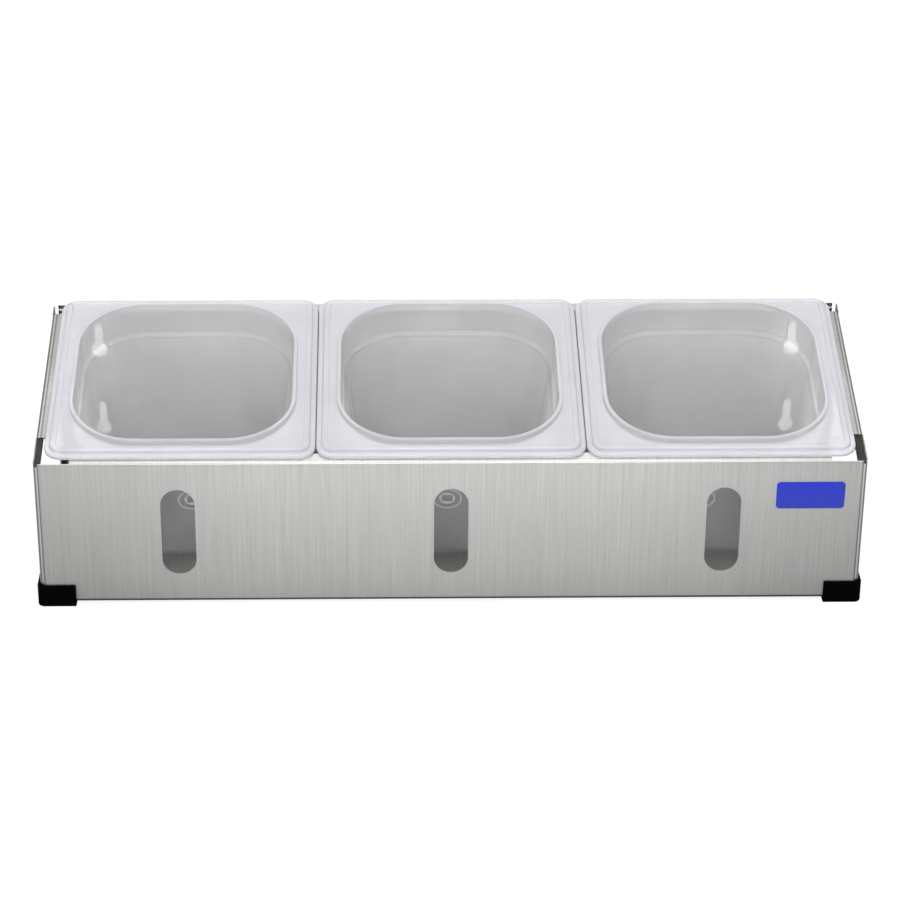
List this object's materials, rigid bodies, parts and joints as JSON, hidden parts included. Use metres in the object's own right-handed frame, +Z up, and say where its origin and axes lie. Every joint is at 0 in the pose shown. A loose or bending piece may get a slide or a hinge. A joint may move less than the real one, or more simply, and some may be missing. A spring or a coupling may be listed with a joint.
{
  "type": "countertop food pan holder",
  "caption": "Sloping sheet steel counter holder with side-by-side lift-out translucent food pans, sight slots, keyhole back and moulded corner feet.",
  "frame": {"origin": "on the counter under the middle of the holder's footprint", "axes": "+X to the right seen from the front, +Y from the front to the back, +Z up"},
  "size_m": [0.5354, 0.1686, 0.1453],
  "materials": {
    "brushed_steel": "upright brushed grain, satin",
    "pan_plastic": "translucent frosted, satin",
    "foot_plastic": "black moulded, satin",
    "badge_blue": "smooth blue, glossy"
  },
  "bodies": {
    "frame": {"frame_sheet": "brushed_steel", "end_panel_left": "brushed_steel", "end_panel_right": "brushed_steel", "foot_front_left": "foot_plastic", "foot_front_right": "foot_plastic", "foot_rear_left": "foot_plastic", "foot_rear_right": "foot_plastic", "badge_plate": "badge_blue"},
    "pan_left_body": {"pan_left": "pan_plastic"},
    "pan_middle_body": {"pan_middle": "pan_plastic"},
    "pan_right_body": {"pan_right": "pan_plastic"}
  },
  "joints": [
    {"name": "pan_left_lift", "type": "slide", "parent": "frame", "child": "pan_left_body", "axis": [0, -0.2164, 0.9763], "range_m": [0, 0.12]},
    {"name": "pan_middle_lift", "type": "slide", "parent": "frame", "child": "pan_middle_body", "axis": [0, -0.2164, 0.9763], "range_m": [0, 0.12]},
    {"name": "pan_right_lift", "type": "slide", "parent": "frame", "child": "pan_right_body", "axis": [0, -0.2164, 0.9763], "range_m": [0, 0.12]}
  ]
}
